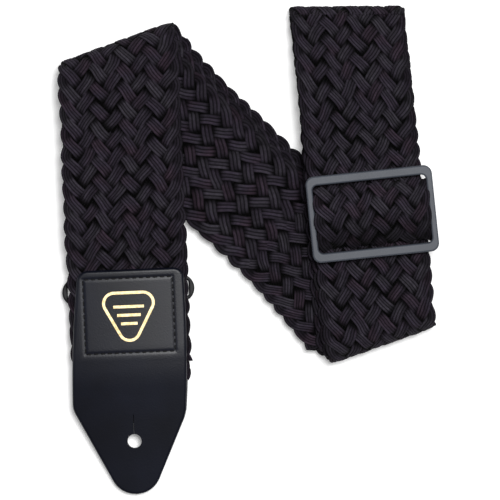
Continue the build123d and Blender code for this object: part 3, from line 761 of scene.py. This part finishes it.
ARCH_TOP = WRAP_TOP + 0.4 + 1.3
ARCH_SPAN, ARCH_FOOT = 12.6, 1.75


def on_slider(forward, height, w):
    """A point measured from the webbing's top face at the slider's middle."""
    return (WEBBING_TOP + forward[:, None] * RUN_UP + height[:, None] * RUN_NORMAL
            + w[:, None] * np.append(RIGHT_RIGHT, 0))


ARCH_RISE = ARCH_TOP - ARCH_FOOT
ARCH_RADIUS = (ARCH_SPAN**2 + ARCH_RISE**2) / (2 * ARCH_RISE)
ARCH_ANGLE = atan2(ARCH_SPAN, ARCH_RADIUS - ARCH_RISE)
ARCH_HALF = ARCH_RADIUS * ARCH_ANGLE


def arch_route(s, w, h):
    """The webbing that arches over the centre bar, which fans out a little at its feet."""
    angle = s / ARCH_RADIUS
    radius = ARCH_RADIUS + h * 0.86
    w = w * (1 + 0.02 * (s / ARCH_HALF) ** 4) + 0.25
    return on_slider(radius * np.sin(angle), ARCH_TOP - ARCH_RADIUS + radius * np.cos(angle), w)


arch_verts, arch_faces, arch_looks = braid(arch_route, -ARCH_HALF, ARCH_HALF, width=0.975, phase=5.3)
# painted shadow: the arch is darkened towards its end at the right fold, where it dives under the slider's
# frame, and a little lightened beyond as painted light
climb = (arch_looks["along"] + ARCH_HALF) / (2 * ARCH_HALF)
arch_looks["shade"] = arch_looks["shade"] * (0.35 + 0.75 * np.clip(climb * 1.6, 0, 1))
arch = make_mesh("arched_webbing_braid", arch_verts, arch_faces, arch_looks)
finish_piece(arch, WEBBING, "webbing", "slider", "webbing_over_bar")

WRAP_FLAT, WRAP_RADIUS = 5.2, BAR / 2 + GAP + WRAP_PLY / 2
WRAP_ROUND = pi * WRAP_RADIUS
WRAP_LENGTH = 2 * WRAP_FLAT + 2 * WRAP_ROUND


def wrap_route(s, w, h):
    """A flat loop round the centre bar."""
    t = np.mod(s, WRAP_LENGTH)
    middle = (BAR_BOTTOM + BAR_TOP) / 2
    h = h * 0.5
    first = np.clip((t - WRAP_FLAT) / WRAP_ROUND, 0, 1) * pi
    second = np.clip((t - 2 * WRAP_FLAT - WRAP_ROUND) / WRAP_ROUND, 0, 1) * pi
    angle = first + second
    across_top = np.clip(t, 0, WRAP_FLAT)
    across_back = np.clip(t - WRAP_FLAT - WRAP_ROUND, 0, WRAP_FLAT)
    forward = -WRAP_FLAT / 2 + across_top - across_back
    radius = WRAP_RADIUS + h
    return on_slider(forward + radius * np.sin(angle), middle + radius * np.cos(angle), w)


wrap = make_mesh("sewn_end_braid", *braid(wrap_route, 0.0, WRAP_LENGTH, 5, 3, width=0.915, height=0.7))
finish_piece(wrap, WEBBING, "webbing", "slider", "webbing_end_wrap")

# ---- connector: short doubled loop on the ring's lower bar ----
PLY = {-1: 2.2 + 0.2 + 1.3, 1: 2.2 + 0.4 + 3.9}  # levels of the lower and the upper ply
CONNECTOR_END, CONNECTOR_JOIN = 26.0, 51.5
PLY_LENGTH = LOWER_BAR - CONNECTOR_END


def connector_route(s, w, h):
    """Up the lower ply, round the bar, and back along the upper one."""
    place = np.empty((len(s), 3))
    h = 0.86 * h
    w = w * 0.975
    for side, mask in ((-1, s < PLY_LENGTH), (1, s >= PLY_LENGTH + RING_TURN)):
        x = CONNECTOR_END + s[mask] if side < 0 else LOWER_BAR - (s[mask] - PLY_LENGTH - RING_TURN)
        at_bar = RING_LEVEL + side * RING_TURN_RADIUS
        line = [(0, PLY[side]), (CONNECTOR_JOIN, PLY[side]), (LOWER_BAR, at_bar), (LOWER_BAR + 9, at_bar)]
        level, slope = smooth_line(x, line, 1.0)
        long = np.sqrt(1 + slope**2)
        out = side * h[mask]
        plan = (x - out * slope / long)[:, None] * LEFT + w[mask][:, None] * LEFT_RIGHT
        place[mask] = np.column_stack([plan, level + out / long])
    mask = (s >= PLY_LENGTH) & (s < PLY_LENGTH + RING_TURN)
    angle = (s[mask] - PLY_LENGTH) / RING_TURN_RADIUS
    radius = RING_TURN_RADIUS + h[mask]
    plan = (LOWER_BAR + radius * np.sin(angle))[:, None] * LEFT + w[mask][:, None] * LEFT_RIGHT
    place[mask] = np.column_stack([plan, RING_LEVEL - radius * np.cos(angle)])
    return place


connector = make_mesh("connector_braid", *braid(connector_route, 0.0, 2 * PLY_LENGTH + RING_TURN, 4, 3))
finish_piece(connector, WEBBING, "webbing", "rear_end", "ring_connector")

# ---- leather ends ----
TAB_HALF, TAB_SHOULDER, TAB_TIP, TIP_RADIUS, TAB_CORNER = 24.0, 12.6, -22.6, 11.0, 4.4
SHOULDER_SHIFT, SHOULDER_TILT, TOP_INSET, TOP_SHIFT, SIDE_BOW = -1.6, 1.8, 1.5, 1.3, 0.8
STITCH_HALF, STITCH_PITCH = 19.0, 2.75
HOLE = 3.0
SHOULDER_SOFT = 2.5
CROWN_RADIUS = 380.0


def side_width(y, side, top):
    """How far the tab reaches to its right (side 1) or left (side -1) of the hole's centre line."""
    shoulder = np.array([TAB_HALF + side * SHOULDER_SHIFT, TAB_SHOULDER - side * SHOULDER_TILT])
    corner = TAB_HALF - TOP_INSET + side * TOP_SHIFT
    reach = shoulder - np.array([0.0, TAB_TIP + TIP_RADIUS])
    long = sqrt(reach @ reach)
    touch = atan2(reach[1], reach[0]) - atan2(sqrt(long**2 - TIP_RADIUS**2), TIP_RADIUS)
    foot = np.array([cos(touch), sin(touch)]) * TIP_RADIUS
    from_centre = y - TAB_TIP - TIP_RADIUS
    tip = np.sqrt(np.clip(TIP_RADIUS**2 - from_centre**2, 0, None))
    taper = foot[0] + (reach[0] - foot[0]) * (from_centre - foot[1]) / (reach[1] - foot[1])
    share = np.clip((y - shoulder[1]) / (top - shoulder[1]), 0, 1)
    straight = shoulder[0] + (corner - shoulder[0]) * share + 4 * SIDE_BOW * share * (1 - share)
    body = np.where(from_centre < foot[1], tip, np.where(y < shoulder[1], taper, straight))
    near = np.clip(1 - np.abs(y - shoulder[1]) / SHOULDER_SOFT, 0, 1)
    body = body - 0.28 * near**2
    from_top = np.clip(y - (top - TAB_CORNER), 0, None)
    return body - TAB_CORNER + np.sqrt(np.clip(TAB_CORNER**2 - from_top**2, 0, None))


def outline_distance(x, y, top):
    """Distance in from the tab's edge, measured square to it."""
    ys = np.concatenate([TAB_TIP + (1 - np.cos(np.linspace(0, pi / 2, 40))) * TIP_RADIUS,
                         np.linspace(TAB_TIP + TIP_RADIUS + 0.4, top - TAB_CORNER, 170),
                         top - TAB_CORNER + np.sin(np.linspace(0.05, pi / 2, 26)) * TAB_CORNER])
    best = np.full(len(x), 1e9)
    for side in (1, -1):
        line = np.concatenate([np.column_stack([side_width(ys, side, top), ys]), [[0.0, top]]])
        own = x * side >= 0
        px, py, nearest = np.abs(x[own]), y[own], best[own]
        for (ax, ay), (dx, dy) in zip(line[:-1], np.diff(line, axis=0)):
            t = np.clip(((px - ax) * dx + (py - ay) * dy) / (dx * dx + dy * dy), 0, 1)
            nearest = np.minimum(nearest, np.hypot(px - ax - t * dx, py - ay - t * dy))
        best[own] = nearest
    return best


def box_distance(x, y, top, length):
    """Distance from the rectangle that the stitches follow."""
    dx, dy = np.abs(x) - STITCH_HALF, np.abs(y - (top - length / 2)) - length / 2
    outside = np.hypot(np.clip(dx, 0, None), np.clip(dy, 0, None))
    return np.abs(outside + np.minimum(np.maximum(dx, dy), 0))


def stitch_list(top, length):
    """Centre and direction of each stitch."""
    across, down = int(2 * STITCH_HALF // STITCH_PITCH), int(length // STITCH_PITCH)
    found = []
    for i in range(across):
        x = (i + 0.5 - across / 2) * 2 * STITCH_HALF / across
        found += [(x, top, 0), (x, top - length, 0)]
    for i in range(down):
        y = top - (i + 0.5) * length / down
        found += [(side * STITCH_HALF, y, 1) for side in (-1, 1)]
    return found


def tab_place(x, y, level):
    """A point of a leather end, x to the right of the hole's centre line and y up from the hole."""
    return np.column_stack([y[:, None] * LEFT + x[:, None] * LEFT_RIGHT, level])


def crown(x):
    """How far the front leather end falls away from its middle line."""
    return -x * x / (2 * CROWN_RADIUS)


def leather_relief(x, y, top, box_top, box_length, face):
    """How far the face stands from the flat sheet, in millimetres; face is +1 for the stitched side."""
    edge = outline_distance(x, y, top)
    t = np.clip(1 - edge / 1.1, 0, 1)
    relief = -0.95 * (1 - np.sqrt(np.clip(1 - t * t, 0, 1)))
    if face > 0:
        line = box_distance(x, y, box_top, box_length)
        relief = relief - 0.16 * np.exp(-(line / 0.6) ** 2)
        inside = np.maximum(np.abs(x) - STITCH_HALF, np.abs(y - (box_top - box_length / 2)) - box_length / 2)
        puff = np.exp(-((inside - 2.4) / 1.5) ** 2) * np.clip((edge - 0.2) / 1.2, 0, 1)
        relief = relief + 0.03 * puff
    return relief


def leather_end(name, top, middle, thickness, box_top, box_length, face):
    """The tab as a closed sheet: rows across it from tip to top, both faces and a rounded rim.

    face is +1 where the stitches are on the upper side and -1 where they are on the lower side.
    """
    rows, columns = 220, 112
    ease = np.linspace(0.0, 1.0, rows)
    y = TAB_TIP + 0.003 + (top - TAB_TIP - 0.006) * (0.9 * ease + 0.1 * (0.5 - 0.5 * np.cos(pi * ease)))
    even = np.linspace(-1, 1, columns)
    across = 0.5 + 0.375 * even + 0.125 * np.sin(even * pi / 2)
    left, right = side_width(y, -1, top), side_width(y, 1, top)
    grid_y = np.repeat(y, columns)
    grid_x = (-left[:, None] + (left + right)[:, None] * across[None, :]).ravel()
    count = len(grid_x)
    sheets = []
    for side in (1, -1):
        relief = leather_relief(grid_x, grid_y, top, box_top, box_length, face * side)
        offset = side * (thickness / 2 + relief) + (crown(grid_x) if face > 0 else 0.0)
        level, slope = middle(grid_y)
        long = np.sqrt(1 + slope**2)
        sheets.append(tab_place(grid_x, grid_y - offset * slope / long, level + offset / long))
    index = np.arange(count).reshape(rows, columns)
    top_faces = np.stack([index[:-1, :-1], index[:-1, 1:], index[1:, 1:], index[1:, :-1]], -1).reshape(-1, 4)
    rim = np.concatenate([index[0, :], index[1:, -1], index[-1, -2::-1], index[-2:0:-1, 0]])
    after = np.roll(rim, -1)
    walls = np.stack([rim, rim + count, after + count, after], -1)
    faces = np.concatenate([top_faces, top_faces[:, ::-1] + count, walls])
    piece = make_mesh(name, np.concatenate(sheets), faces)
    cut_hole(piece, middle, face)
    piece.data.set_sharp_from_angle(angle=radians(48))
    return piece


def cut(piece, outline, low, high):
    """Cuts an upright prism out of a piece; the outline is in the tab's own plan."""
    plan = np.array(outline)
    count = len(plan)
    ends = [tab_place(plan[:, 0], plan[:, 1], np.full(count, level)) for level in (low, high)]
    ring = list(range(count))
    sides = [(i, (i + 1) % count, (i + 1) % count + count, i + count) for i in ring]
    mesh = bpy.data.meshes.new("cutter")
    caps = [ring[::-1], [i + count for i in ring]]
    mesh.from_pydata((np.concatenate(ends) * MM).tolist(), [], [*caps, *sides])
    cutter = bpy.data.objects.new("cutter", mesh)
    bpy.context.scene.collection.objects.link(cutter)
    modifier = piece.modifiers.new("cut", "BOOLEAN")
    modifier.object, modifier.operation, modifier.solver = cutter, "DIFFERENCE", "EXACT"
    graph = bpy.context.evaluated_depsgraph_get()
    done = bpy.data.meshes.new_from_object(piece.evaluated_get(graph))
    piece.modifiers.clear()
    piece.data = done
    bpy.data.objects.remove(cutter)


def cut_hole(piece, middle, face):
    """Cuts the button hole and the narrow slit, which stays closed at the back of the leather."""
    level = middle(np.array([0.0]))[0][0]
    angles = np.linspace(0, 2 * pi, 72, endpoint=False)
    cut(piece, [(HOLE * cos(t), HOLE * sin(t)) for t in angles], level - 8, level + 8)
    inner, outer = middle(np.array([4.0]))[0][0], level + 8 * face
    low, high = sorted((inner - 0.6 * face, outer))
    slit = [(-0.17, HOLE - 0.3), (0.17, HOLE - 0.3), (0.14, 11.0), (0.0, 11.6), (-0.14, 11.0)]
    cut(piece, slit, low, high)


FRONT_LEATHER, REAR_LEATHER = 2.4, 2.2
LEATHER_LIFT = (HALF + 0.1 + 1.2) / cos(radians(FRONT_SLOPE))


def front_middle(y):
    """Level and slope of the middle of the front leather."""
    bend = HINGE_LEVEL - (HINGE_AT - SLOPE_CHANGE) * FRONT_FALL + LEATHER_LIFT
    tip = bend - (SLOPE_CHANGE + 60) * tan(radians(TIP_SLOPE))
    top = bend + (120 - SLOPE_CHANGE) * FRONT_FALL
    return smooth_line(y, [(-60, tip), (SLOPE_CHANGE, bend), (120, top)], 9.0)


def rear_middle(y):
    """Level and slope of the middle of the rear leather, which lies on the floor."""
    return np.full_like(y, REAR_LEATHER / 2), np.zeros_like(y)


def stitches(name, middle, thickness, box_top, box_length, face):
    """Short lengths of thread that rise out of the leather and go down again."""
    rings, around = 9, 8
    t = np.linspace(-1, 1, rings)
    angles = np.arange(around) / around * 2 * pi
    verts, faces = [], []
    tube = tube_faces(rings, around)
    for number, (cx, cy, upright) in enumerate(stitch_list(box_top, box_length)):
        lean = radians(3.0 * sin(number * 1.7))
        along = t * 1.18
        radius = 0.36 * np.sqrt(np.clip(1 - (0.93 * t) ** 6, 0.02, 1))
        arch = 0.16 - 0.55 * t**4
        across = radius[:, None] * np.cos(angles)[None, :]
        height = arch[:, None] + radius[:, None] * np.sin(angles)[None, :] * 0.9
        run = along[:, None] + across * sin(lean)
        dx, dy = (across, run) if upright else (run, across)
        x, y = (cx + dx).ravel(), (cy + dy).ravel()
        offset = face * (thickness / 2 - 0.32 + height.ravel()) + (crown(x) if face > 0 else 0.0)
        level, slope = middle(y)
        long = np.sqrt(1 + slope**2)
        verts.append(tab_place(x, y - offset * slope / long, level + offset / long))
        faces.append(tube + number * rings * around)
    return make_mesh(name, np.concatenate(verts), np.concatenate(faces))


# middle, thickness, top of the stitched box, its length, side of the stitches
FRONT = (front_middle, FRONT_LEATHER, 69.3, 31.6, 1)
REAR = (rear_middle, REAR_LEATHER, 47.5, 19.0, -1)
FRONT_TOP, REAR_TOP = 73.0, 51.0
front_leather = leather_end("front_leather", FRONT_TOP, *FRONT)
finish_piece(front_leather, LEATHER, "leather", "front_end", "front_leather_end")
rear_leather = leather_end("rear_leather", REAR_TOP, *REAR)
finish_piece(rear_leather, LEATHER, "leather", "rear_end", "rear_leather_end")
front_thread = stitches("front_thread", *FRONT)
finish_piece(front_thread, THREAD, "thread", "front_end", "front_stitching")
rear_thread = stitches("rear_thread", *REAR)
finish_piece(rear_thread, THREAD, "thread", "rear_end", "rear_stitching")

for name, material in (("front_emblem", FOIL), ("tri_glide_slider", MOULDING), ("strap_ring", RING_PLASTIC)):
    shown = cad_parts[name]
    shown.data.materials.clear()
    shown.data.materials.append(material)

# ---- floor, light and camera ----
bpy.ops.mesh.primitive_plane_add(size=6.0, location=(0.05, 0.08, -0.0004))
floor = bpy.context.active_object
floor.name = "floor"
paper, nodes, links, shader = new_material("pale_paper")
tooth = node(nodes, "ShaderNodeTexNoise", Scale=300.0, Detail=2.0)
links.new(object_place(nodes), tooth.inputs["Vector"])
tones = ramp(nodes, ((0.3, (0.90, 0.90, 0.90)), (0.7, (0.92, 0.92, 0.92))))
links.new(tooth.outputs["Fac"], tones.inputs["Fac"])
links.new(tones.outputs["Color"], shader.inputs["Base Color"])
shader.inputs["Roughness"].default_value = 0.9
shader.inputs["Specular IOR Level"].default_value = 0.1
shader.inputs["Emission Color"].default_value = (1, 1, 1, 1)
shader.inputs["Emission Strength"].default_value = 0.22
floor.data.materials.append(paper)

world = bpy.data.worlds.new("studio")
bpy.context.scene.world = world
world.use_nodes = True
world.node_tree.nodes["Background"].inputs["Color"].default_value = (1.0, 1.0, 1.0, 1)
world.node_tree.nodes["Background"].inputs["Strength"].default_value = 0.10


def area_light(name, place, target, size, power):
    """A square light that faces its target."""
    data = bpy.data.lights.new(name, "AREA")
    data.shape, data.size, data.energy = "SQUARE", size, power
    light = bpy.data.objects.new(name, data)
    light.location = place
    light.rotation_euler = (Vector(target) - Vector(place)).to_track_quat("-Z", "Y").to_euler()
    bpy.context.scene.collection.objects.link(light)


VIEW_CENTRE = (0.0490, 0.0811, 0.0)
CAMERA_HEIGHT, SHOWN_LEVEL, SHOWN_WIDTH, SENSOR = 3.0, 0.012, 0.2119, 36.0
bpy.context.scene.view_settings.view_transform = "Standard"
area_light("overhead", (0.70, 0.75, 5.0), VIEW_CENTRE, 1.4, 255.0)
area_light("fill", (1.30, 0.60, 1.10), VIEW_CENTRE, 0.7, 4.0)
area_light("side", (-1.20, 0.10, 1.20), VIEW_CENTRE, 0.7, 4.0)

camera = bpy.data.objects.new("camera", bpy.data.cameras.new("camera"))
bpy.context.scene.collection.objects.link(camera)
camera.location = (VIEW_CENTRE[0], VIEW_CENTRE[1], CAMERA_HEIGHT)
camera.data.sensor_width = SENSOR
camera.data.lens = SENSOR * (CAMERA_HEIGHT - SHOWN_LEVEL) / SHOWN_WIDTH
camera.data.clip_start, camera.data.clip_end = 0.1, 20.0
bpy.context.scene.camera = camera
